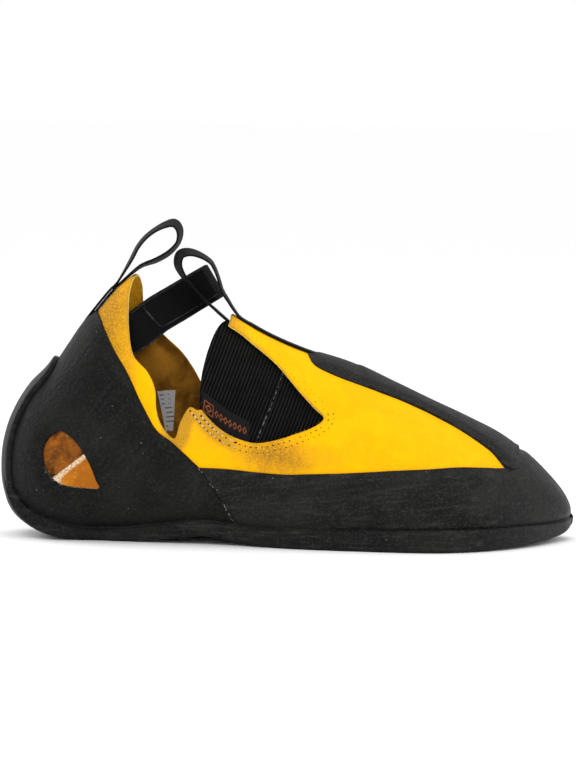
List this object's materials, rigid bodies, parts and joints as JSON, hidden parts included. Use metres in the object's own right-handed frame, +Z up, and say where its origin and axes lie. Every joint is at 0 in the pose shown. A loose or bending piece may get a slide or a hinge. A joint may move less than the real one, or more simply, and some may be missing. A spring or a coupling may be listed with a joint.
{
  "type": "climbing shoe",
  "caption": "Slip-on climbing shoe for the right foot: suede upper, rubber rands, toe patch and sole, elastic gores, ankle strap and two pull loops.",
  "frame": {"origin": "middle of the heel's flat spot, on the floor", "axes": "+X from heel to toe, +Y to the inner (medial) side of the foot, +Z up"},
  "size_m": [0.26, 0.0922, 0.1444],
  "materials": {
    "suede": "napped suede",
    "insole_board": "plain board",
    "elastic": "ribbed elastic",
    "rand_rubber": "matte, lightly scuffed",
    "sole_rubber": "matte, sanded edge",
    "woven_tape": "woven"
  },
  "bodies": {
    "root": {"upper": "suede", "insole": "insole_board", "gore_lateral": "elastic", "gore_medial": "elastic", "front_rand": "rand_rubber", "heel_rand": "rand_rubber", "toe_patch": "rand_rubber", "outsole": "sole_rubber", "heel_loop": "woven_tape", "front_loop": "woven_tape", "ankle_strap": "woven_tape"}
  },
  "joints": []
}
